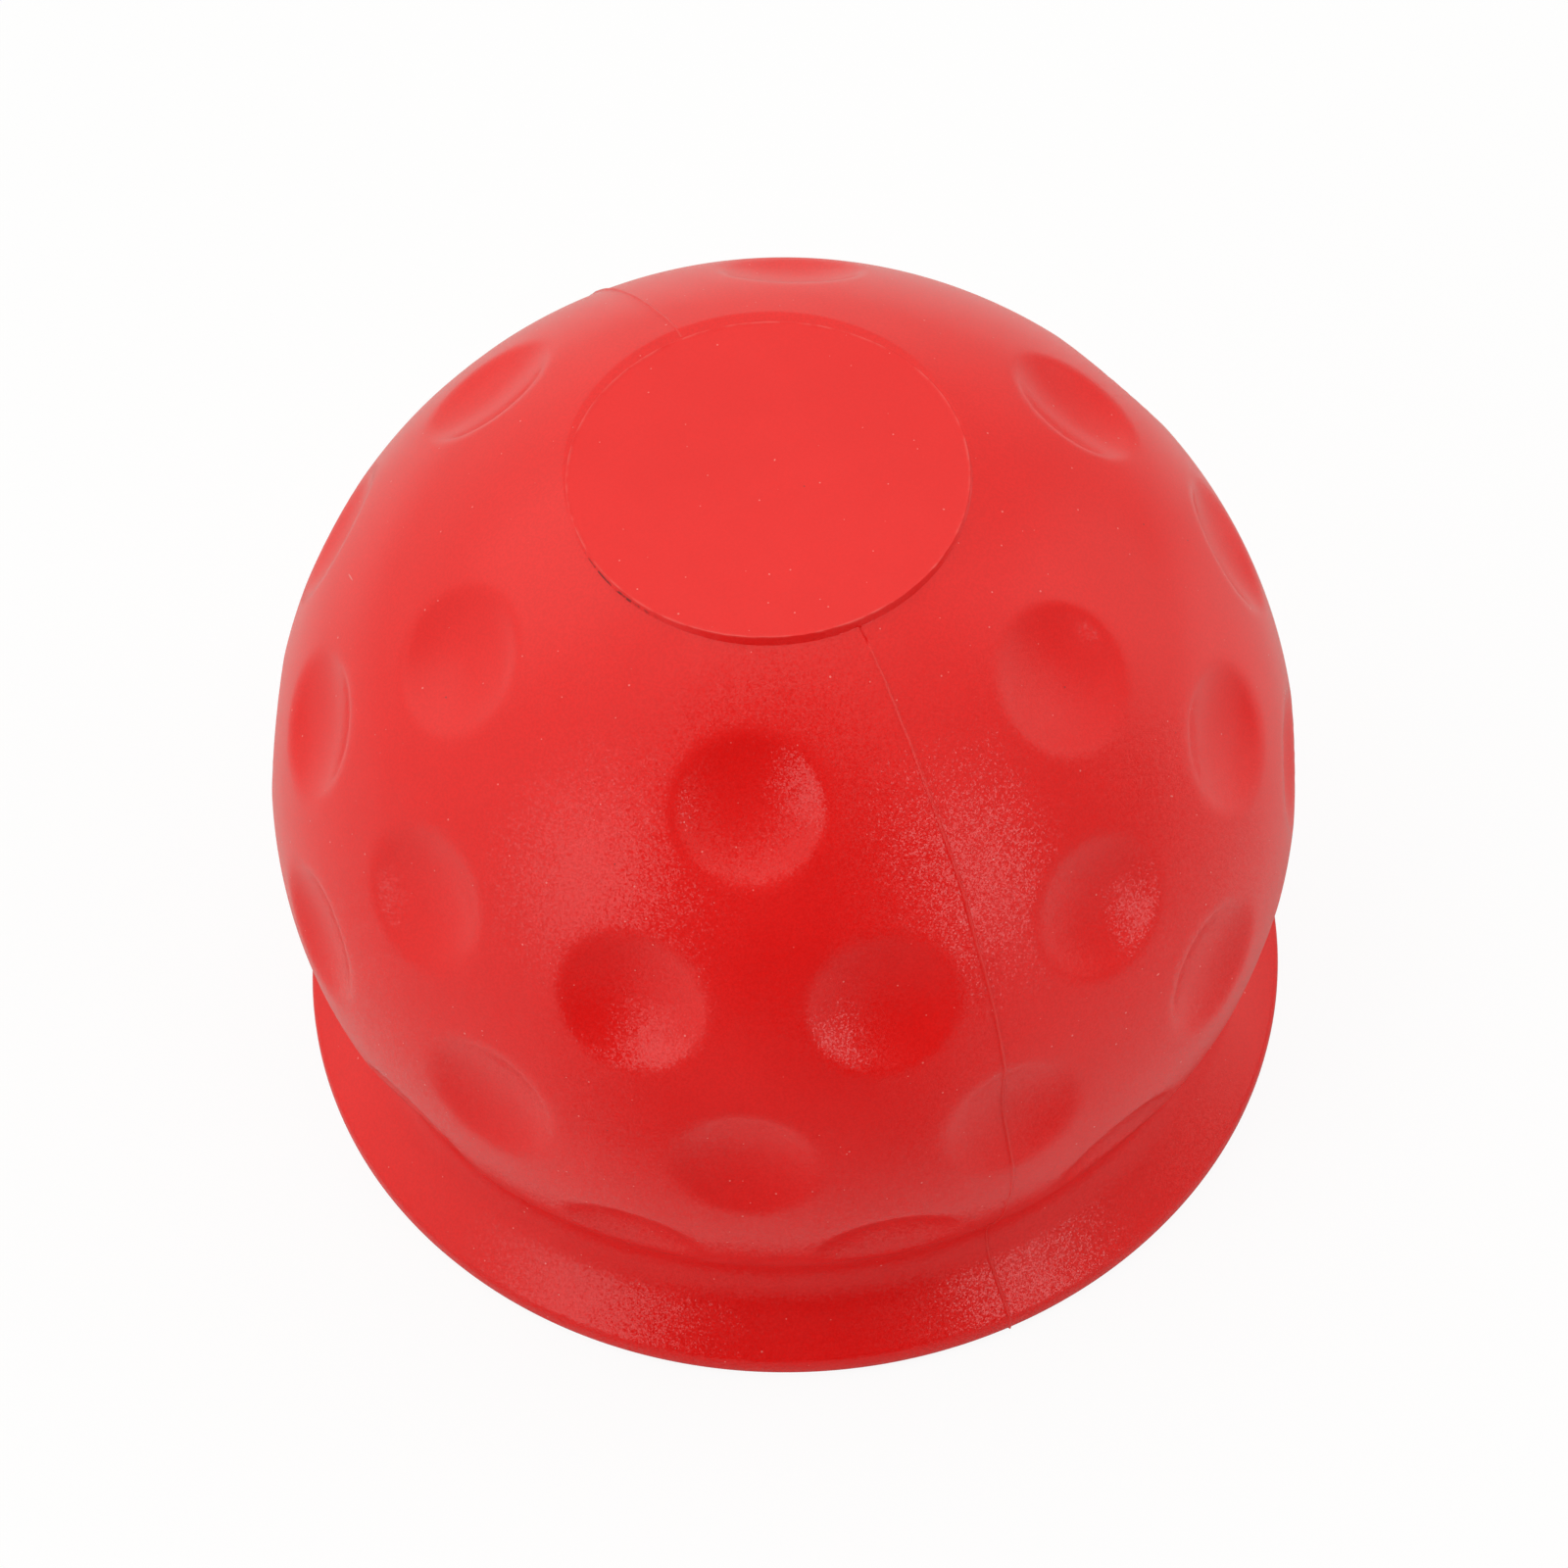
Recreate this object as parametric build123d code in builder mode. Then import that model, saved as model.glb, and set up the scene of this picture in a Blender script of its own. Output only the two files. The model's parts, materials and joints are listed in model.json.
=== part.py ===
from build123d import *

import os
from math import cos, isclose, radians, sin, sqrt

# Dimpled cover for a towing ball: one soft rubber moulding that snaps over the ball.
#
# The outside is a ball with staggered rows of dimples, a flat disc on its crown, a belly that draws
# in to the waist, and a thin flange that flares from the waist. The inside is a round seat for the
# coupling ball, a throat that grips below it, and a bell mouth. The base of the flange lies on Z = 0
# and the axis is +Z. The parting plane of the mould is the YZ plane, and turns about the axis are
# counted from its -Y side.

# The coupling ball and the seat that takes it, in millimetres
coupling_ball_d = 50.0
seat_clearance = 0.25  # gap between the coupling ball and its seat
throat_grip = 3.0  # how far the throat reaches in under the coupling ball, on the radius
throat_land = 3.0  # height of the straight wall in the throat
mouth_height = 5.6  # height of the bell mouth below the throat
mouth_flare = 4.0  # how much wider the mouth is than the throat, on the radius
mouth_round = 0.5  # rounding of the mouth's lower edge

# The wall, the belly, the waist and the flange
wall = 5.75  # wall round the seat and round the throat
belly_latitude = -5.0  # where the ball's outside turns into the belly, in degrees
belly_round = 22.0  # rounding of the belly, tighter than the ball
waist_round = 4.0  # hollow rounding between the belly and the flange
flange_reach = 2.52  # how far the flange stands out from the wall round the throat
flange_slope = 45.0  # fall of the flange's upper side, in degrees
lip_height = 1.7  # height at which the flange's slope ends
lip_round = 0.8  # rounding of the flange's edge, above
base_round = 1.0  # rounding of the flange's edge, below

# The disc on the crown
disc_d = 23.3
disc_step = 0.2  # height of the disc above the flat round it
disc_margin = 0.5  # width of the flat round the disc

# The dimples, in rows from the crown down
dimple_d = 8.8
dimple_depth = 1.15
dimple_round = 2.0  # rounding of each dimple's rim
row_counts = [6, 12, 12, 12]  # number of dimples in each row
row_latitudes = [49.3, 26.2, 5.3, -19.0]  # rise of their axes, in degrees
row_turn_angles = [30.0, 15.0, 0.0, 15.0]  # turn of the first one, in degrees

# Radii and heights that follow from these sizes
seat_r = coupling_ball_d / 2 + seat_clearance
ball_r = seat_r + wall
throat_r = coupling_ball_d / 2 - throat_grip
mouth_r = throat_r + mouth_flare
flange_r = throat_r + wall + flange_reach
throat_top = mouth_height + throat_land
ball_z = throat_top + sqrt(seat_r**2 - throat_r**2)  # height of the ball's centre
disc_r = disc_d / 2
flat_r = disc_r + disc_margin
flat_z = ball_z + sqrt(ball_r**2 - flat_r**2)


def on_arc(middle, radius, rise):
    """The point of the section on a circle at this rise, in degrees."""
    return middle[0] + radius * cos(radians(rise)), middle[1] + radius * sin(radians(rise))


ball_middle = (0, ball_z)
belly_middle = on_arc(ball_middle, ball_r - belly_round, belly_latitude)
belly_top = on_arc(ball_middle, ball_r, belly_latitude)


def flange_root():
    """Where the slope of the flange's upper side, carried inwards, meets the belly."""
    run, rise = cos(radians(flange_slope)), sin(radians(flange_slope))
    out, drop = flange_r - belly_middle[0], lip_height - belly_middle[1]
    half_b = drop * rise - out * run
    length = -half_b - sqrt(half_b**2 - (out**2 + drop**2 - belly_round**2))
    return flange_r - length * run, lip_height + length * rise


# A dimple's bowl is a sphere that passes through the dimple's rim and its deepest point.
rim_drop = ball_r - sqrt(ball_r**2 - (dimple_d / 2) ** 2)
bowl_sag = dimple_depth - rim_drop
bowl_r = ((dimple_d / 2) ** 2 + bowl_sag**2) / (2 * bowl_sag)
lens_margin = 0.3  # how far the cutting lens runs on past the dimple's rim


def dimple_places():
    """A plane on the outside at each dimple, facing outwards, row by row from the crown down."""
    for count, rise, turn in zip(row_counts, row_latitudes, row_turn_angles):
        on_belly = rise < belly_latitude
        middle, radius = (belly_middle, belly_round) if on_belly else (ball_middle, ball_r)
        reach, height = on_arc(middle, radius, rise)
        for step in range(count):
            longitude = radians(turn + step * 360 / count)
            across = Vector(sin(longitude), -cos(longitude))
            outward = across * cos(radians(rise)) + Vector(0, 0, sin(radians(rise)))
            yield Plane(origin=across * reach + Vector(0, 0, height), z_dir=outward)


with BuildPart() as dimple_lens:
    # The lens that cuts one dimple, its axis along Z and the cover's outside at its origin
    with Locations((0, 0, bowl_r - dimple_depth)):
        Sphere(bowl_r, rotation=(90, 0, 0))
    Cylinder(dimple_d / 2 + lens_margin, 3 * dimple_depth, mode=Mode.INTERSECT)

with BuildPart() as cover:
    # Half section on the parting plane, from the seat's top round to the crown
    with BuildSketch(Plane.YZ) as section:
        with BuildLine() as outline:
            root = flange_root()
            ThreePointArc(
                (0, ball_z + seat_r), on_arc(ball_middle, seat_r, 45), (throat_r, throat_top)
            )
            Line((throat_r, throat_top), (throat_r, mouth_height))
            TangentArc((throat_r, mouth_height), (mouth_r, 0), tangent=(0, -1))
            Polyline((mouth_r, 0), (flange_r, 0), (flange_r, lip_height), root)
            RadiusArc(root, belly_top, -belly_round)
            ThreePointArc(belly_top, on_arc(ball_middle, ball_r, 30), (flat_r, flat_z))
            Polyline(
                (flat_r, flat_z),
                (disc_r, flat_z),
                (disc_r, flat_z + disc_step),
                (0, flat_z + disc_step),
                (0, ball_z + seat_r),
            )
        make_face()
        fillet(section.vertices().sort_by_distance(root)[0], waist_round)
        fillet(section.vertices().sort_by_distance((flange_r, lip_height))[0], lip_round)
        fillet(section.vertices().sort_by_distance((flange_r, 0))[0], base_round)
        fillet(section.vertices().sort_by_distance((mouth_r, 0))[0], mouth_round)
    revolve(axis=Axis.Z)

    # Rows of dimples, with their rims rounded
    with Locations(*dimple_places()):
        add(dimple_lens.part, mode=Mode.SUBTRACT)
    bowls = cover.faces().filter_by(GeomType.SPHERE).filter_by(lambda face: isclose(face.radius, bowl_r))
    fillet(bowls.edges(), dimple_round)

cover.part.label = "cover"
os.makedirs("parts", exist_ok=True)
export_step(cover.part, "parts/cover.step")
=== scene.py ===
"""Looks of the dimpled tow ball cover: its moulded skin, its red rubber and a plain studio.

Sizes are in metres, in the part's own frame: the flange's base lies on Z = 0 and the axis is +Z. The rows of dimples
are counted from the -Y side, which faces the viewer. Turns about the axis are counted from there too, towards +X.
"""

import json
import math

import bpy
from mathutils import Matrix, Vector


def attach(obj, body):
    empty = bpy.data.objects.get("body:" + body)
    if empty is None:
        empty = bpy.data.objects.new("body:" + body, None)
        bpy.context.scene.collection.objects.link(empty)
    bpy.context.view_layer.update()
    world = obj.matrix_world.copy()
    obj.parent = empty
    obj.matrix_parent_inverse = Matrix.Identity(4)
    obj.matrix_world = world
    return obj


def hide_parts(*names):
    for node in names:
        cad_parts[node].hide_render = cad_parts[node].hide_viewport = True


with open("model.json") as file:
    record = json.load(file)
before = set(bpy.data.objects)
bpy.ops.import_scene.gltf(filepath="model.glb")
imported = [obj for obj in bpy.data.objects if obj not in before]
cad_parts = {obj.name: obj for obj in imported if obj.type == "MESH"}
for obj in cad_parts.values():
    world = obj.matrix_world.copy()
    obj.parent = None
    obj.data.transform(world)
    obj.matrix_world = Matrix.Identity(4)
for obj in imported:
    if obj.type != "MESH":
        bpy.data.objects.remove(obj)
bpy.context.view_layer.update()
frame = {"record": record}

MM = 0.001
mounts = {mount["name"]: mount for mount in frame["record"]["mounts"]}

# Seat, throat and mouth, read from the part's mounts
seat_z = mounts["ball_seat"]["pos_m"][2]
seat_r = mounts["ball_seat"]["dims"]["r_mm"] * MM
throat_r = mounts["throat"]["dims"]["r_mm"] * MM
throat_land = mounts["throat"]["dims"]["length_mm"] * MM
mouth_height = mounts["throat"]["pos_m"][2] - throat_land / 2
mouth_flare = 4.0 * MM
mouth_round = 0.5 * MM

# Ball, belly, waist and flange
wall = 5.75 * MM
ball_r = seat_r + wall
belly_latitude = -5.0
belly_round = 22.0 * MM
waist_round = 4.0 * MM
flange_r = throat_r + wall + 2.52 * MM
flange_slope = math.radians(45)
lip_height = 1.7 * MM
lip_round = 0.8 * MM
base_round = 1.0 * MM

# Disc on the crown: it leans back and reaches forward, so its front stands proud and its back lies in the ball
disc_r = 11.65 * MM
disc_lean = 0.3 * MM
disc_reach = 0.5 * MM
disc_lean_turn = math.radians(-14)
disc_z = seat_z + math.sqrt(ball_r**2 - disc_r**2)
step_r = disc_r + 0.1 * MM
step_z = seat_z + math.sqrt(ball_r**2 - step_r**2)
step_softness = 0.015 * MM
rim_flash = 0.07 * MM
rim_ragged_scale = 900.0
rim_pale_scale = 700.0

# The disc's edge, outwards: millimetres from the disc's radius, share of the lean and share of the rim's flash
edge_points = [
    (-0.2, 1, 0), (-0.11, 1, 0.5), (-0.06, 1, 1), (-0.035, 1, 0.9), (-0.025, 0.94, 0.5),
    (-0.01, 0.8, 0), (0.03, 0.5, 0), (0.07, 0.15, 0), (0.09, 0, 0),
]

# Skin that goes along with the disc's front edge: all of it inside the first radius, none outside the second
drawn_all_r = disc_r + 0.3 * MM
drawn_none_r = disc_r + 4 * MM
drawn_above_z = seat_z + seat_r + 0.8 * MM
drawn_falloff = 1.5

# A dark brown broken line along the foot of the disc's step, to the left of the viewer
step_foot_dark_turn = math.radians(-74)
step_foot_dark_spread = math.radians(19)
step_foot_dark_scale = 2200.0
step_foot_dark_share = 0.85

# Dimples: each is the hollow of a larger sphere. A row has the rise of their axes, their number and the first turn.
dimple_r = 4.4 * MM
dimple_depth = 1.15 * MM
dimple_soft = 0.3 * MM
bowl_sag = dimple_depth - ball_r + math.sqrt(ball_r**2 - dimple_r**2)
bowl_r = (dimple_r**2 + bowl_sag**2) / (2 * bowl_sag)
dimple_rows = [(49.3, 6, 30.0), (26.2, 12, 16.0), (5.3, 12, -0.5), (-19.0, 12, 15.0)]

# Flash along the mould's parting plane, which is a little out of line with the dimples
flash_turn = math.radians(-1.0)
flash_height = 0.11 * MM
flash_width = 0.06 * MM
flash_wander = 0.14 * MM
flash_bend_scale = 260.0
flash_tremble_scale = 1300.0
flash_tremble = 0.4
flash_uneven_scale = 1100.0
groove_r = disc_r + 0.8 * MM
groove_end_r = disc_r + 1.8 * MM
base_bare_height = 0.3 * MM

# The skin's mesh: spacing of its rings, number of its meridians, and how they crowd together at the flash
disc_step = 1.6 * MM
disc_margin = 0.4 * MM
foot_step, foot_width = 0.07 * MM, 0.4 * MM
crescent_step, crescent_width = 0.12 * MM, 2.0 * MM
ball_step = 0.5 * MM
edge_step = 0.3 * MM
base_step = 0.8 * MM
mouth_step = 0.7 * MM
throat_step = 1.0 * MM
inside_step = 2.0 * MM
closest_points = 0.003 * MM
merge_distance = 0.002 * MM
meridians = 420
fine_share = 0.045
fine_packing = 0.08

# The viewer
view_turn = math.radians(-23.98)
view_rise = math.radians(53.7)
view_roll = math.radians(-3.2)
view_distance = 14.665 * ball_r
view_drop = 0.0276 * ball_r
view_right = Vector((math.cos(view_turn), math.sin(view_turn), 0))
view_lens_mm = 172.2
view_sensor_mm = 36.0

# Rubber: its colours, and its patterns with their scales counted per metre
plain_red = (0.82, 0.006, 0.005, 1)
bright_red = (0.86, 0.009, 0.008, 1)
mottle_shade_red = (0.6, 0.003, 0.003, 1)
flash_and_highlight_pink = (0.9, 0.2, 0.18, 1)
dust_pink = (0.95, 0.5, 0.46, 1)
step_foot_dark_brown = (0.07, 0.003, 0.002, 1)
speck_brown = (0.1, 0.02, 0.02, 1)
grain_scale = 10500.0
grain_tilt = 0.07
grain_front_tilt = 0.16
grain_front_start, grain_front_full = 6 * MM, 18 * MM
cloud_scale = 90.0
mottle_shade_scale, mottle_shade_share = 6500.0, 0.24
disc_smoothness = 0.6
flash_and_highlight_share = 0.14
dust_scale, dust_share = 1000.0, 0.32
dust_radius, dust_spread = 0.03, 0.05
lint_scale, lint_share = 160.0, 0.4
lint_half_width, lint_core = 0.06 * MM, 0.03 * MM
lint_half_length, lint_taper = 0.9 * MM, 0.7 * MM
speck_scale, speck_share = 330.0, 0.8
speck_radius, speck_core = 0.025, 0.012
rubber_roughness, roughness_spread = 0.14, 0.1
rubber_ior = 1.5
sheen_weight, sheen_roughness = 0.25, 0.4
sheen_red = (1.0, 0.1, 0.1, 1)

# Floor: half its width in metres, its white, and the grey that the rubber mirrors of it, which is painted shade
floor_half = 3.0
floor_gap = 0.02 * MM
floor_white = 0.9
floor_seen_white = 0.92
floor_shade_grey, floor_shade_grey_lean = 0.6, 0.04
floor_near, floor_far = 0.05, 0.2
floor_roughness, floor_gloss = 0.9, 0.2

# The viewer's dark opening: its turn, and the angle to each side at which it ends and is full, in radians
opening_turn = view_turn - math.radians(4)
opening_end, opening_full = 0.78, 0.3
opening_top_end, opening_top_full = 1.0, 0.86
opening_dark, opening_dark_fall = 0.99, 0.3
# Painted shade on the floor as the rubber mirrors it, below the opening: how dark, and where it starts and is full
floor_shade_dark, floor_shade_dark_start, floor_shade_dark_full = 0.82, 0.02, 0.07

# Brightness of the studio: all round, overhead, and on the side away from the viewer
studio_light, overhead_light, behind_light = 0.6, 0.35, 0.22
behind_turn = math.radians(-170)

# Brighter and dimmer places round the studio: turn and rise in degrees, cosines at the edge and inside, brightness
bright_places = [
    (-142, 45, 0.87, 0.97, 0.32), (81, 14, 0.88, 0.98, 0.36), (0, 90, 0.93, 0.99, 0.2),
    (46, 30, 0.78, 0.95, -0.15), (-84, 52, 0.86, 0.96, -0.14), (113, 15, 0.85, 0.97, -0.12),
]

# Lamps: turn and rise in degrees, width and height in metres, watts, and whether the rubber mirrors the lamp
lamp_distance = 0.6
lamps = [
    ("left box", -69, 19, 0.27, 0.34, 0.29, True),
    ("right box", 19, 18, 0.12, 0.38, 0.31, True),
    ("left fill", -75, 34, 0.2, 0.3, 0.32, False),
    ("right fill", 73, 39, 0.2, 0.3, 0.43, False),
    ("top fill", -75, 68, 0.2, 0.3, 0.4, False),
]
studio_tint = (1.0, 0.975, 0.9, 1)


def heading(turn, rise):
    """Direction from the cover towards a place at this turn and height of view."""
    return Vector((math.sin(turn) * math.cos(rise), -math.cos(turn) * math.cos(rise), math.sin(rise)))


class Wire:
    """A node's output that can be used in sums; each sum adds a Math node to its tree."""

    def __init__(self, graph, socket):
        self.graph = graph
        self.socket = socket

    def math(self, operation, *others):
        return self.graph.node("ShaderNodeMath", {"operation": operation}, dict(enumerate((self, *others))))

    def __add__(self, other):
        return self.math("ADD", other)

    def __sub__(self, other):
        return self.math("SUBTRACT", other)

    def __mul__(self, other):
        return self.math("MULTIPLY", other)

    def __truediv__(self, other):
        return self.math("DIVIDE", other)

    def __rsub__(self, other):
        return self * -1.0 + other

    __radd__ = __add__
    __rmul__ = __mul__


class Graph:
    """A node tree that is filled by one method."""

    def __init__(self, tree):
        self.tree = tree

    def node(self, kind, settings=None, sockets=None, out=0):
        """Adds a node, applies its settings, fills its sockets and returns the output asked for."""
        made = self.tree.nodes.new(kind)
        for name, value in (settings or {}).items():
            setattr(made, name, value)
        for key, value in (sockets or {}).items():
            for single in value if isinstance(value, list) else [value]:
                if isinstance(single, Wire):
                    self.tree.links.new(single.socket, made.inputs[key])
                else:
                    made.inputs[key].default_value = single
        return Wire(self, made.outputs[out]) if made.outputs else made

    def vector(self, operation, *values, out=0, **sockets):
        return self.node("ShaderNodeVectorMath", {"operation": operation}, {**dict(enumerate(values)), **sockets}, out)

    def parts(self, vector):
        """X, Y and Z of a vector."""
        split = self.node("ShaderNodeSeparateXYZ", sockets={0: vector})
        return [Wire(self, socket) for socket in split.socket.node.outputs]

    def join(self, x, y, z):
        return self.node("ShaderNodeCombineXYZ", sockets={0: x, 1: y, 2: z})

    def fade(self, value, low, high):
        """0 up to low, 1 from high and smooth between; low may be the larger one."""
        return self.node("ShaderNodeMapRange", {"interpolation_type": "SMOOTHSTEP"}, {0: value, 1: low, 2: high})

    def blend(self, factor, first, second):
        """Mixes two colours."""
        return self.node("ShaderNodeMix", {"data_type": "RGBA"}, {0: factor, 6: first, 7: second}, 2)

    def noise(self, place, scale, detail=2.0):
        return self.node("ShaderNodeTexNoise", sockets={"Vector": place, "Scale": scale, "Detail": detail})

    def cells(self, place, scale):
        """Voronoi cells: the distance to a cell's middle, the cell's colour and its middle's position."""
        made = self.node("ShaderNodeTexVoronoi", sockets={"Vector": place, "Scale": scale}).socket.node
        return {name: Wire(self, made.outputs[name]) for name in ("Distance", "Color", "Position")}

    def attribute(self, name):
        """A named number on the mesh, inside a geometry tree."""
        return self.node("GeometryNodeInputNamedAttribute", {"data_type": "FLOAT"}, {"Name": name})


def arc(centre, radius, start, end, step):
    """Points on a circle from one angle to another, in degrees, both ends included."""
    count = max(2, math.ceil(abs(math.radians(end - start)) * radius / step))
    return [on_arc(centre, radius, start + (end - start) * i / count) for i in range(count + 1)]


def run(start, end, step):
    """Points on a straight line, both ends included."""
    count = max(1, math.ceil(math.dist(start, end) / step))
    return [tuple(a + (b - a) * i / count for a, b in zip(start, end)) for i in range(count + 1)]


def bearing(centre, point):
    """Angle from a centre to a point, in degrees."""
    return math.degrees(math.atan2(point[1] - centre[1], point[0] - centre[0]))


def on_arc(centre, radius, rise):
    """Point of a circle at an angle, in degrees."""
    return centre[0] + radius * math.cos(math.radians(rise)), centre[1] + radius * math.sin(math.radians(rise))


ball = (0.0, seat_z)
belly = on_arc(ball, ball_r - belly_round, belly_latitude)


def ball_and_flange():
    """The section from the disc's edge down the ball and its belly, through the waist and round the flange's lip."""
    along = (math.cos(flange_slope), -math.sin(flange_slope))
    across = (math.sin(flange_slope), math.cos(flange_slope))
    off_slope = across[0] * (flange_r - belly[0]) + across[1] * (lip_height - belly[1]) + waist_round
    down_slope = math.sqrt((belly_round + waist_round) ** 2 - off_slope**2)
    waist = tuple(a * down_slope + b * off_slope + c for a, b, c in zip(along, across, belly))
    slope = math.degrees(flange_slope)
    lip_top = lip_height - lip_round * (1 - across[0]) / across[1]
    disc_edge = bearing(ball, (step_r, step_z))
    beside_disc = disc_edge - math.degrees(foot_width / ball_r)
    crescent = disc_edge - math.degrees(crescent_width / ball_r)
    return (
        arc(ball, ball_r, disc_edge, beside_disc, foot_step)
        + arc(ball, ball_r, beside_disc, crescent, crescent_step)
        + arc(ball, ball_r, crescent, belly_latitude, ball_step)
        + arc(belly, belly_round, belly_latitude, bearing(belly, waist), ball_step)
        + arc(waist, waist_round, bearing(waist, belly), 270 - slope, edge_step)
        + arc((flange_r - lip_round, lip_top), lip_round, 90 - slope, 0, edge_step)
        + arc((flange_r - base_round, base_round), base_round, 0, -90, edge_step)
    )


def mouth_and_seat():
    """The section from the base, up the mouth, the throat and the seat to the axis."""
    bell_r = (mouth_flare**2 + mouth_height**2) / (2 * mouth_flare)
    bell = (throat_r + bell_r, mouth_height)
    mouth = (bell[0] - math.sqrt((bell_r - mouth_round) ** 2 - (mouth_height - mouth_round) ** 2), mouth_round)
    throat_top = mouth_height + throat_land
    return (
        arc(mouth, mouth_round, -90, bearing(bell, mouth), edge_step)
        + arc(bell, bell_r, bearing(bell, mouth), -180, mouth_step)
        + run((throat_r, mouth_height), (throat_r, throat_top), throat_step)
        + arc(ball, seat_r, bearing(ball, (throat_r, throat_top)), 90, inside_step)
    )


def section_object():
    """The section as a line of points, radius on X and height on Z.

    Each point carries how far it follows the disc's lean, the disc's rim flash and the parting plane's flash.
    """
    points = [(r, z, 1, 0, 0) for r, z in run((0, disc_z), (disc_r - disc_margin, disc_z), disc_step)]
    for off, lean, rim in edge_points:
        points.append((disc_r + off * MM, step_z + (disc_z - step_z) * lean, lean, rim, 0))
    outside, inside = ball_and_flange(), mouth_and_seat()
    points += [(r, z, 0, 0, float(z > base_bare_height)) for r, z in outside]
    points += [(r, z, 0, 0, 0) for r, z in run(outside[-1], inside[0], base_step) + inside]
    kept = points[:1]
    for point in points[1:]:
        if math.dist(point[:2], kept[-1][:2]) > closest_points:
            kept.append(point)
    mesh = bpy.data.meshes.new("cover section")
    mesh.from_pydata([(p[0], 0, p[1]) for p in kept], [(i, i + 1) for i in range(len(kept) - 1)], [])
    for column, name in enumerate(("disc", "rim", "flash"), start=2):
        mesh.attributes.new(name, "FLOAT", "POINT").data.foreach_set("value", [float(p[column]) for p in kept])
    made = bpy.data.objects.new("cover section", mesh)
    bpy.context.scene.collection.objects.link(made)
    return made


def turned(graph, section):
    """Wraps a grid round the axis, one ring for each point of the section, and closes its seam and poles."""
    position = graph.node("GeometryNodeInputPosition")
    count = graph.node("GeometryNodeAttributeDomainSize", {"component": "MESH"}, {0: section})
    grid = graph.node("GeometryNodeMeshGrid", sockets={0: 1.0, 1: 1.0, 2: count, 3: meridians + 1})
    across, along, _ = graph.parts(position)
    ring = ((across + 0.5) * (count - 1.0)).math("ROUND")
    for name in ("disc", "rim", "flash"):
        here = graph.node(
            "GeometryNodeSampleIndex", {"data_type": "FLOAT"}, {0: section, 1: graph.attribute(name), 2: ring})
        grid = graph.node(
            "GeometryNodeStoreNamedAttribute", {"data_type": "FLOAT"}, {"Geometry": grid, "Name": name, "Value": here})

    # The meridians crowd together in front and behind, where the flash runs.
    turn = along + 0.5
    quarter = turn.math("PINGPONG", 0.25)
    coarse_packing = (0.25 - fine_share * fine_packing) / (0.25 - fine_share)
    crowded = quarter.math("MINIMUM", fine_share) * fine_packing
    crowded = crowded + (quarter - fine_share).math("MAXIMUM", 0.0) * coarse_packing
    side = (turn * (4 * math.pi)).math("SINE").math("SIGN")
    angle = (turn + side * (crowded - quarter)) * (2 * math.pi) + flash_turn
    sampled = graph.node("GeometryNodeSampleIndex", {"data_type": "FLOAT_VECTOR"}, {0: section, 1: position, 2: ring})
    radius, _, height = graph.parts(sampled)
    wrapped = graph.join(radius * angle.math("SINE"), radius * angle.math("COSINE") * -1.0, height)
    tube = graph.node("GeometryNodeSetPosition", sockets={"Geometry": grid, "Position": wrapped})
    return graph.node("GeometryNodeMergeByDistance", sockets={"Geometry": tube, "Distance": merge_distance})


def dimpled(graph, skin, size):
    """Presses the skin out of rows of large spheres, which leaves bowls with soft rims."""
    rows = []
    lift = size["Bowl radius"] - size["Dimple depth"]
    for rise, number, turn in dimple_rows:
        reach, height = on_arc(belly, belly_round, rise) if rise < belly_latitude else on_arc(ball, ball_r, rise)
        radius = lift * math.cos(math.radians(rise)) + reach
        middle = graph.join(0.0, 0.0, lift * math.sin(math.radians(rise)) + height)
        ring = graph.node("GeometryNodeMeshCircle", sockets={"Vertices": number, "Radius": radius})
        rows.append(graph.node("GeometryNodeTransform", sockets={
            "Geometry": ring, "Translation": middle, "Rotation": (0, 0, math.radians(turn - 90))}))
    middles = graph.node("GeometryNodeJoinGeometry", sockets={0: rows})
    nearest = graph.node("GeometryNodeProximity", {"target_element": "POINTS"}, {0: middles})
    away = graph.vector("SUBTRACT", graph.node("GeometryNodeInputPosition"), nearest)
    sunk = (size["Bowl radius"] - graph.vector("LENGTH", away, out=1)).math("SMOOTH_MAX", 0.0, size["Rim softness"])
    pressed = graph.vector("SCALE", graph.vector("NORMALIZE", away), Scale=sunk)
    return graph.node("GeometryNodeSetPosition", sockets={"Geometry": skin, "Offset": pressed})


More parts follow.
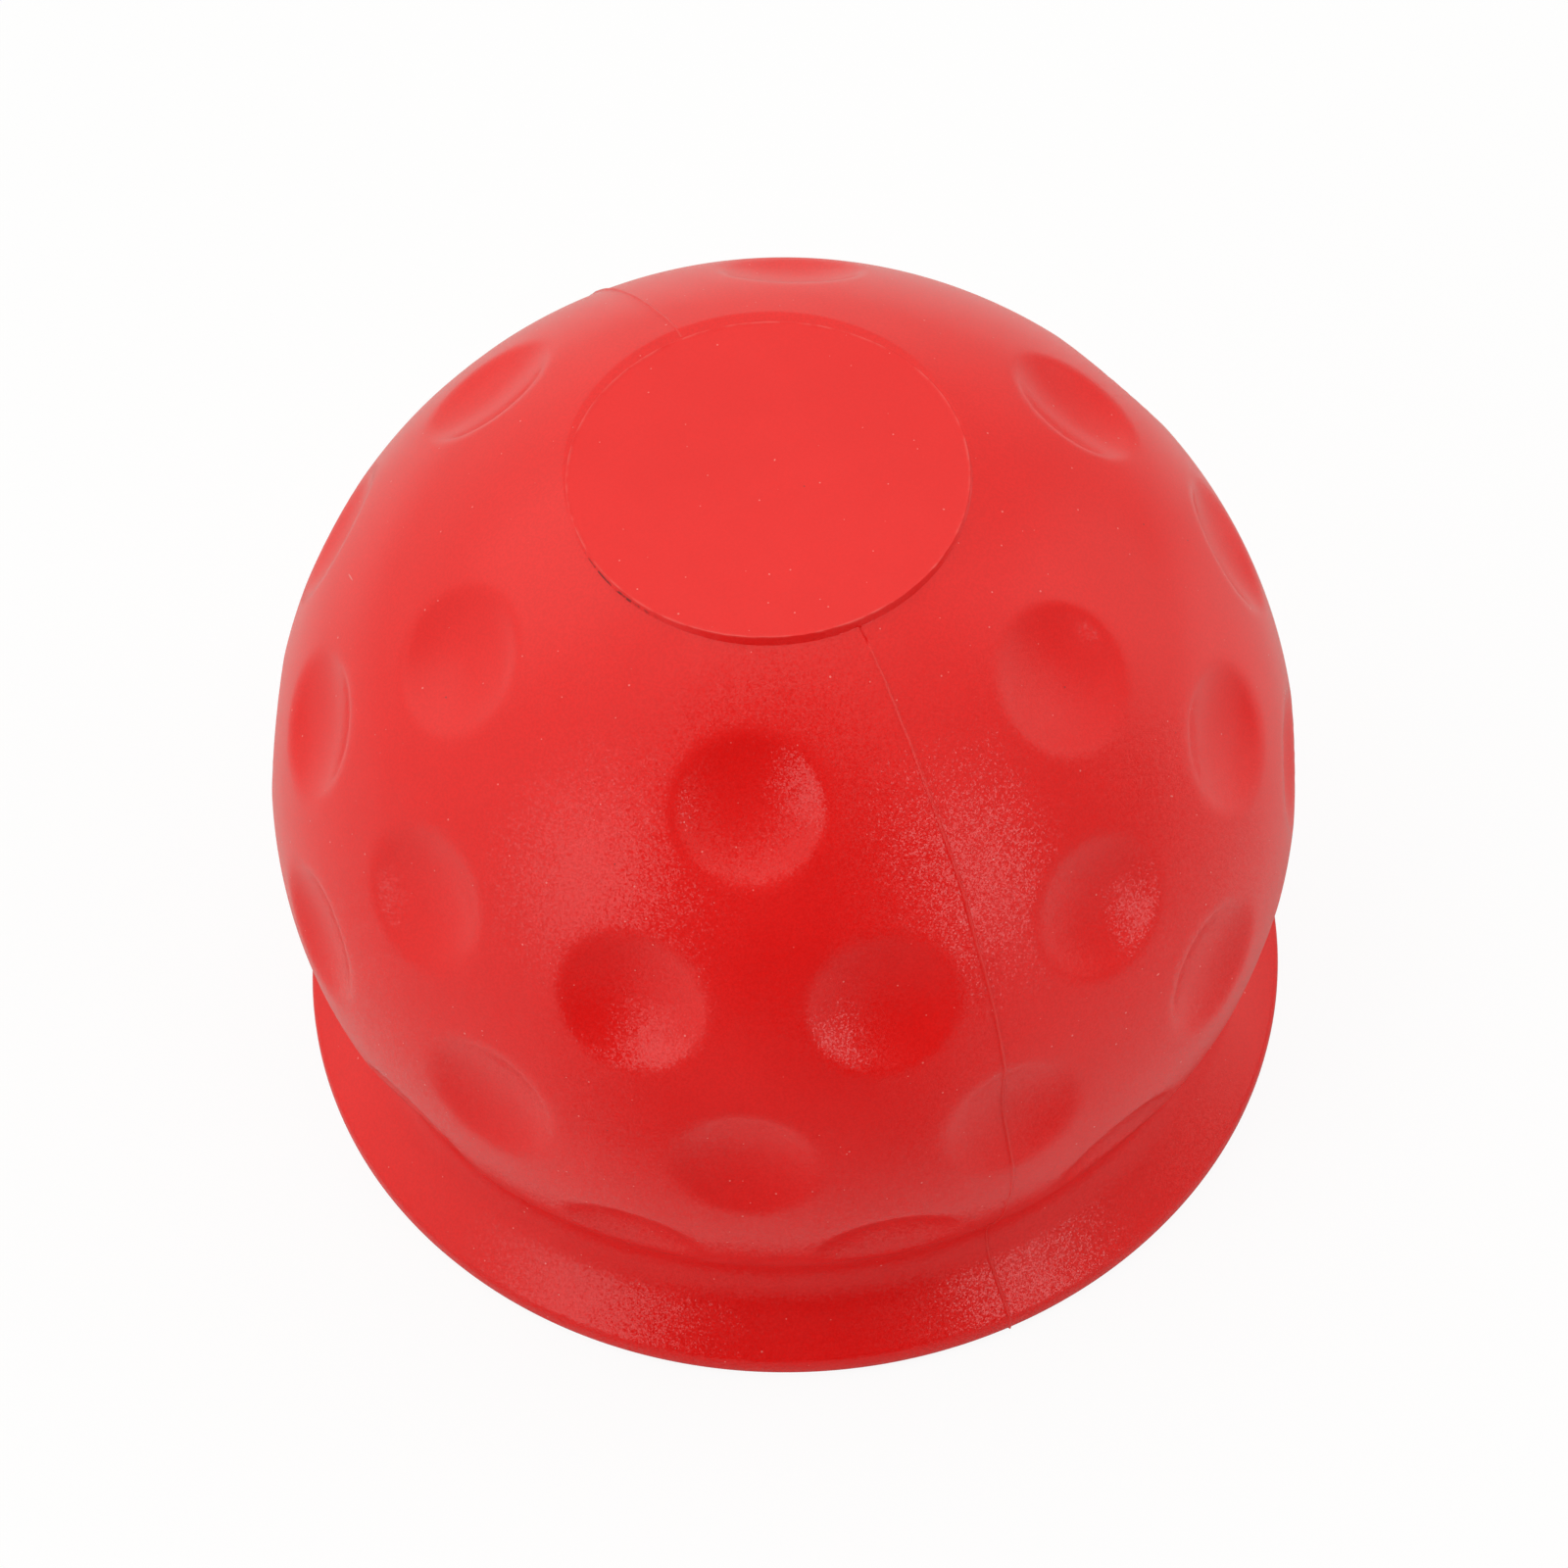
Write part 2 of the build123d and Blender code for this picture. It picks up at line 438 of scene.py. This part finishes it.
def flashed(graph, skin, size):
    """Raises a fine ridge that wanders to each side of the parting plane, and sinks a short groove before the disc.

    The skin keeps how pale the flash makes it, here and on the disc's rim; that paleness is partly the flash's own
    colour and partly a painted highlight along the ridge.
    """
    x, y, z = graph.parts(graph.node("GeometryNodeInputPosition"))
    side = y.math("SIGN")
    wander = graph.noise(graph.join(side, 0.0, z), flash_bend_scale, 3.0) - 0.5
    wander = wander + (graph.noise(graph.join(side, 0.2, z), flash_tremble_scale) - 0.5) * flash_tremble
    uneven = graph.noise(graph.join(side, 0.1, z), flash_uneven_scale) * 1.6 + 0.2
    off_plane = x * math.cos(flash_turn) + y * math.sin(flash_turn)
    astray = (off_plane - wander * 2.0 * size["Flash wander"]) / size["Flash width"]
    near_disc = graph.fade((x * x + y * y).math("SQRT"), groove_end_r, groove_r) * (side - 1.0)
    ridge = (astray * astray * -1.0).math("EXPONENT") * uneven * graph.attribute("flash") * (near_disc + 1.0)
    rim_cloud = graph.noise(graph.join(x, y, 0.0), rim_pale_scale, 3.0)
    rim = graph.attribute("rim") * graph.fade(rim_cloud, 0.42, 0.6)
    pale = graph.node(
        "GeometryNodeStoreNamedAttribute", {"data_type": "FLOAT"},
        {"Geometry": skin, "Name": "pale", "Value": ridge.math("MAXIMUM", rim * 2.0)})
    raised = graph.vector("SCALE", graph.node("GeometryNodeInputNormal"), Scale=ridge * size["Flash height"])
    return graph.node("GeometryNodeSetPosition", sockets={"Geometry": pale, "Offset": raised})


def drawn_out(graph, skin, size):
    """Draws the disc's front edge outwards, and slides the ball's skin in front of it down the ball."""
    x, y, z = graph.parts(graph.node("GeometryNodeInputPosition"))
    radius = (x * x + y * y).math("SQRT")
    ahead = ((x * math.sin(disc_lean_turn) - y * math.cos(disc_lean_turn)) / radius).math("MAXIMUM", 0.0)
    near = graph.fade(radius, drawn_none_r, drawn_all_r) * (radius / disc_r).math("MINIMUM", 1.0)
    outside = z.math("GREATER_THAN", drawn_above_z)
    reach = ahead.math("POWER", drawn_falloff) * near * outside * size["Disc reach"]
    height, new_height = [(ball_r**2 - r * r).math("SQRT") for r in (radius, radius + reach)]
    drop = (new_height - height) * (1 - graph.attribute("disc"))
    moved = graph.join(x * reach / radius, y * reach / radius, drop)
    return graph.node("GeometryNodeSetPosition", sockets={"Geometry": skin, "Offset": moved})


def with_disc(graph, skin, size):
    """Leans the disc back, flattens the ball behind it and leaves a ragged flash on its rim."""
    position = graph.node("GeometryNodeInputPosition")
    x, y, z = graph.parts(position)
    forward = (x * math.sin(disc_lean_turn) - y * math.cos(disc_lean_turn)) / disc_r
    level = forward * size["Disc lean"] + disc_z
    follows = graph.attribute("disc")
    ragged = (graph.noise(position, rim_ragged_scale, 3.0) - 0.35).math("MAXIMUM", 0.0) * 3.0
    rim = graph.attribute("rim") * ragged * size["Rim flash"]
    flat = (z - level).math("SMOOTH_MAX", 0.0, step_softness) * (1 - follows)
    moved = graph.join(0.0, 0.0, (level - disc_z) * follows - flat + rim)
    return graph.node("GeometryNodeSetPosition", sockets={"Geometry": skin, "Offset": moved})


def skin_tree(names, material):
    """The whole skin, made from its section."""
    tree = bpy.data.node_groups.new("moulded skin", "GeometryNodeTree")
    graph = Graph(tree)
    tree.interface.new_socket("Section", in_out="INPUT", socket_type="NodeSocketGeometry")
    for name in names:
        tree.interface.new_socket(name, in_out="INPUT", socket_type="NodeSocketFloat")
    tree.interface.new_socket("Skin", in_out="OUTPUT", socket_type="NodeSocketGeometry")
    size = {socket.name: Wire(graph, socket) for socket in tree.nodes.new("NodeGroupInput").outputs}
    skin = turned(graph, size["Section"])
    for change in (dimpled, flashed, drawn_out, with_disc):
        skin = change(graph, skin, size)
    skin = graph.node("GeometryNodeSetShadeSmooth", sockets={"Geometry": skin})
    skin = graph.node("GeometryNodeRealizeInstances", sockets={"Geometry": skin})
    skin = graph.node("GeometryNodeSetMaterial", sockets={"Geometry": skin, "Material": material})
    graph.node("NodeGroupOutput", sockets={0: skin})
    return tree


def cover_skin(material):
    """The moulded skin as a plain mesh."""
    sizes = {
        "Bowl radius": bowl_r, "Dimple depth": dimple_depth, "Rim softness": dimple_soft,
        "Flash height": flash_height, "Flash width": flash_width, "Flash wander": flash_wander,
        "Disc lean": disc_lean, "Disc reach": disc_reach, "Rim flash": rim_flash,
    }
    section = section_object()
    shape = section.modifiers.new("moulded skin", "NODES")
    shape.node_group = skin_tree(sizes, material)
    for item in shape.node_group.interface.items_tree:
        if item.name in sizes:
            shape[item.identifier] = sizes[item.name]
    mesh = bpy.data.meshes.new_from_object(section.evaluated_get(bpy.context.evaluated_depsgraph_get()))
    section.modifiers.remove(shape)
    bpy.data.objects.remove(section)
    mesh.name = "cover_skin"
    skin = bpy.data.objects.new("cover_skin", mesh)
    bpy.context.scene.collection.objects.link(skin)
    return skin


def new_material(name):
    """A material with its graph and the sockets of its shader."""
    material = bpy.data.materials.new(name)
    material.use_nodes = True
    return material, Graph(material.node_tree), material.node_tree.nodes["Principled BSDF"].inputs


def red_rubber():
    """Red moulded rubber with a fine grain, mottle that is partly painted shade, a pale flash that is partly a painted
    highlight, a dark brown line at the disc's step, dust, lint and a few dark specks.
    """
    material, graph, shader = new_material("red_rubber")
    link = material.node_tree.links.new
    place = graph.node("ShaderNodeTexCoord", out="Object")

    # Each grain is a tiny facet with a tilt of its own, stronger in front, so highlights break up into sparkles.
    grains = graph.cells(place, grain_scale)
    tilt = graph.vector("SUBTRACT", grains["Color"], (0.5, 0.5, 0.5))
    from_middle = graph.vector("SUBTRACT", place, grains["Position"])
    forward = graph.vector("DOT_PRODUCT", place, heading(view_turn, 0), out=1)
    strength = graph.fade(forward, grain_front_start, grain_front_full) * grain_front_tilt + grain_tilt
    facets = graph.vector("DOT_PRODUCT", tilt, from_middle, out=1) * strength
    bump = graph.node("ShaderNodeBump", sockets={"Strength": 1.0, "Distance": 1.0, "Height": facets})
    link(bump.socket, shader["Normal"])

    cloud = graph.noise(place, cloud_scale, 3.0)
    red = graph.blend(graph.fade(cloud, 0.3, 0.7), plain_red, bright_red)
    on_disc = graph.node("ShaderNodeAttribute", {"attribute_name": "disc"}, out="Fac")
    # Fine dark mottle, less on the disc: random tone, and painted shade that stands in for the grain's shading
    mottle = graph.fade(graph.noise(place, mottle_shade_scale, 1.0), 0.65, 0.35) * (1 - on_disc * disc_smoothness)
    red = graph.blend(mottle * mottle_shade_share, red, mottle_shade_red)
    pale = graph.node("ShaderNodeAttribute", {"attribute_name": "pale"}, out="Fac")
    # Paler along the flash and the disc's rim: partly the flash's own colour, partly a painted highlight on the ridge
    red = graph.blend(pale * flash_and_highlight_share, red, flash_and_highlight_pink)

    # A dark brown line in broken strokes along the lower half of the disc's step
    x, y, _ = graph.parts(place)
    on_step = graph.fade(on_disc, 0.0, 0.2) * graph.fade(on_disc, 0.7, 0.45)
    off_middle = (x.math("ARCTAN2", y * -1.0) - step_foot_dark_turn).math("ABSOLUTE")
    step_foot_dark = on_step * graph.fade(off_middle, step_foot_dark_spread, step_foot_dark_spread / 3)
    step_foot_dark = step_foot_dark * graph.fade(graph.noise(place, step_foot_dark_scale), 0.4, 0.58)
    red = graph.blend(step_foot_dark * step_foot_dark_share, red, step_foot_dark_brown)

    # Dust: a pale grain in some cells, each of its own size
    dust_cells = graph.cells(place, dust_scale)
    dust_kind, _, _ = graph.parts(dust_cells["Color"])
    dust = graph.fade(dust_cells["Distance"] - dust_kind * dust_spread, dust_radius, 0.0)
    red = graph.blend(dust * dust_share, red, dust_pink)

    # Lint: a short pale hair in each cell, at any angle, which shows where it lies in the skin
    lint = graph.cells(place, lint_scale)
    hair = graph.vector("NORMALIZE", graph.vector("SUBTRACT", lint["Color"], (0.5, 0.5, 0.5)))
    to_hair = graph.vector("SUBTRACT", place, lint["Position"])
    along = graph.vector("DOT_PRODUCT", to_hair, hair, out=1)
    across = graph.vector("SUBTRACT", to_hair, graph.vector("SCALE", hair, Scale=along))
    strand = graph.fade(graph.vector("LENGTH", across, out=1), lint_half_width, lint_core)
    strand = strand * graph.fade(along.math("ABSOLUTE"), lint_half_length, lint_taper)
    red = graph.blend(strand * lint_share, red, dust_pink)

    specks = graph.fade(graph.cells(place, speck_scale)["Distance"], speck_radius, speck_core)
    red = graph.blend(specks * speck_share, red, speck_brown)
    link(red.socket, shader["Base Color"])

    link((cloud * roughness_spread + rubber_roughness).socket, shader["Roughness"])
    shader["IOR"].default_value = rubber_ior
    shader["Sheen Weight"].default_value = sheen_weight
    shader["Sheen Roughness"].default_value = sheen_roughness
    shader["Sheen Tint"].default_value = sheen_red
    return material


def floor_object():
    """A wide white floor; what the rubber mirrors of it is painted shade: greyer, with the studio's brightness further
    out, and dark in front, below the viewer's opening.
    """
    mesh = bpy.data.meshes.new("floor")
    corners = [(-1, -1), (1, -1), (1, 1), (-1, 1)]
    mesh.from_pydata([(x * floor_half, y * floor_half, -floor_gap) for x, y in corners], [], [(0, 1, 2, 3)])
    floor = bpy.data.objects.new("floor", mesh)
    bpy.context.scene.collection.objects.link(floor)

    material, graph, shader = new_material("floor_white")
    link = material.node_tree.links.new
    place = graph.node("ShaderNodeTexCoord", out="Object")
    seen = graph.node("ShaderNodeLightPath", out="Is Camera Ray")
    mirrored = graph.node("ShaderNodeLightPath", out="Is Glossy Ray")
    # What the rubber mirrors of the floor is painted shade and light: grey near the cover, the studio's brightness
    # further out, dark in front
    far = graph.fade(graph.vector("LENGTH", place, out=1), floor_near, floor_far)
    around = graph.vector("NORMALIZE", place)
    near_shade_grey = floor_shade_grey - graph.vector("DOT_PRODUCT", around, view_right, out=1) * floor_shade_grey_lean
    grey = near_shade_grey + far * (surroundings(graph, around) - near_shade_grey)
    grey = grey * (1 - opening(graph, place, floor_shade_dark_start, floor_shade_dark_full) * floor_shade_dark)
    level = mirrored * (grey - floor_white) + floor_white
    link(graph.join(level, level, level).socket, shader["Base Color"])
    shader["Roughness"].default_value = floor_roughness
    shader["Specular IOR Level"].default_value = floor_gloss
    output = material.node_tree.nodes["Material Output"].inputs["Surface"]
    lit = Wire(graph, output.links[0].from_socket)
    white = graph.node("ShaderNodeEmission")
    link(graph.node("ShaderNodeMixShader", sockets={0: seen * floor_seen_white, 1: lit, 2: white}).socket, output)
    mesh.materials.append(material)
    return floor


def opening(graph, direction, near, far):
    """1 towards the viewer's dark opening, in a wedge to each side of the view, 0 elsewhere."""
    ahead = graph.vector("DOT_PRODUCT", direction, heading(opening_turn, 0), out=1)
    beside = graph.vector("DOT_PRODUCT", direction, heading(opening_turn + math.pi / 2, 0), out=1)
    wedge = graph.fade(beside.math("ABSOLUTE").math("ARCTAN2", ahead), opening_end, opening_full)
    return wedge * graph.fade(ahead, near, far)


def surroundings(graph, direction):
    """Brightness of the studio: more overhead and behind, with brighter and dimmer places on its walls."""
    _, _, rise = graph.parts(direction)
    behind = graph.vector("DOT_PRODUCT", direction, heading(behind_turn, 0), out=1)
    light = rise.math("MAXIMUM", 0.0) * overhead_light + behind * behind_light + studio_light
    for turn, place_rise, outer, inner, amount in bright_places:
        towards = heading(math.radians(turn), math.radians(place_rise))
        light = light + graph.fade(graph.vector("DOT_PRODUCT", direction, towards, out=1), outer, inner) * amount
    return light


def studio():
    """White light all round but for a dark opening behind the viewer, two low soft boxes beside it, and fills."""
    scene = bpy.context.scene
    scene.view_settings.view_transform = "Standard"
    floor_object()

    scene.world = bpy.data.worlds.new("studio")
    scene.world.use_nodes = True
    graph = Graph(scene.world.node_tree)
    background = scene.world.node_tree.nodes["Background"].inputs
    direction = graph.node("ShaderNodeTexCoord", out="Generated")
    seen = graph.node("ShaderNodeLightPath", out="Is Camera Ray")
    _, _, rise = graph.parts(direction)
    dark = opening(graph, direction, 0.0, 0.1) * graph.fade(rise, opening_top_end, opening_top_full)
    dark = dark * (opening_dark - rise * opening_dark_fall)
    light = surroundings(graph, direction) * (1 - dark)
    scene.world.node_tree.links.new((light * (1 - seen) + seen).socket, background["Strength"])
    tint = graph.blend(seen, studio_tint, (1, 1, 1, 1))
    scene.world.node_tree.links.new(tint.socket, background["Color"])

    for name, turn, lamp_rise, width, height, power, mirrored in lamps:
        away = heading(math.radians(turn), math.radians(lamp_rise))
        lamp = bpy.data.lights.new(name, "AREA")
        lamp.shape = "RECTANGLE"
        lamp.size, lamp.size_y = width, height
        lamp.energy = power
        holder = bpy.data.objects.new(name, lamp)
        holder.visible_glossy = mirrored
        place = Matrix.Translation(Vector((0, 0, seat_z)) + away * lamp_distance)
        holder.matrix_world = place @ away.to_track_quat("Z", "Y").to_matrix().to_4x4()
        scene.collection.objects.link(holder)


def camera():
    """Looks down on the cover, a little out of level, through a long lens."""
    back = heading(view_turn, view_rise)
    upright = back.cross(view_right)
    right = view_right * math.cos(view_roll) + upright * math.sin(view_roll)
    up = upright * math.cos(view_roll) - view_right * math.sin(view_roll)
    data = bpy.data.cameras.new("camera")
    data.sensor_width = view_sensor_mm
    data.lens = view_lens_mm
    data.clip_start = 0.01
    holder = bpy.data.objects.new("camera", data)
    spot = Vector((0, 0, seat_z)) + back * view_distance - up * view_drop
    holder.matrix_world = Matrix.Translation(spot) @ Matrix((right, up, back)).transposed().to_4x4()
    bpy.context.scene.collection.objects.link(holder)
    bpy.context.scene.camera = holder


skin = cover_skin(red_rubber())
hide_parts("cover")
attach(skin, "root")
studio()
camera()
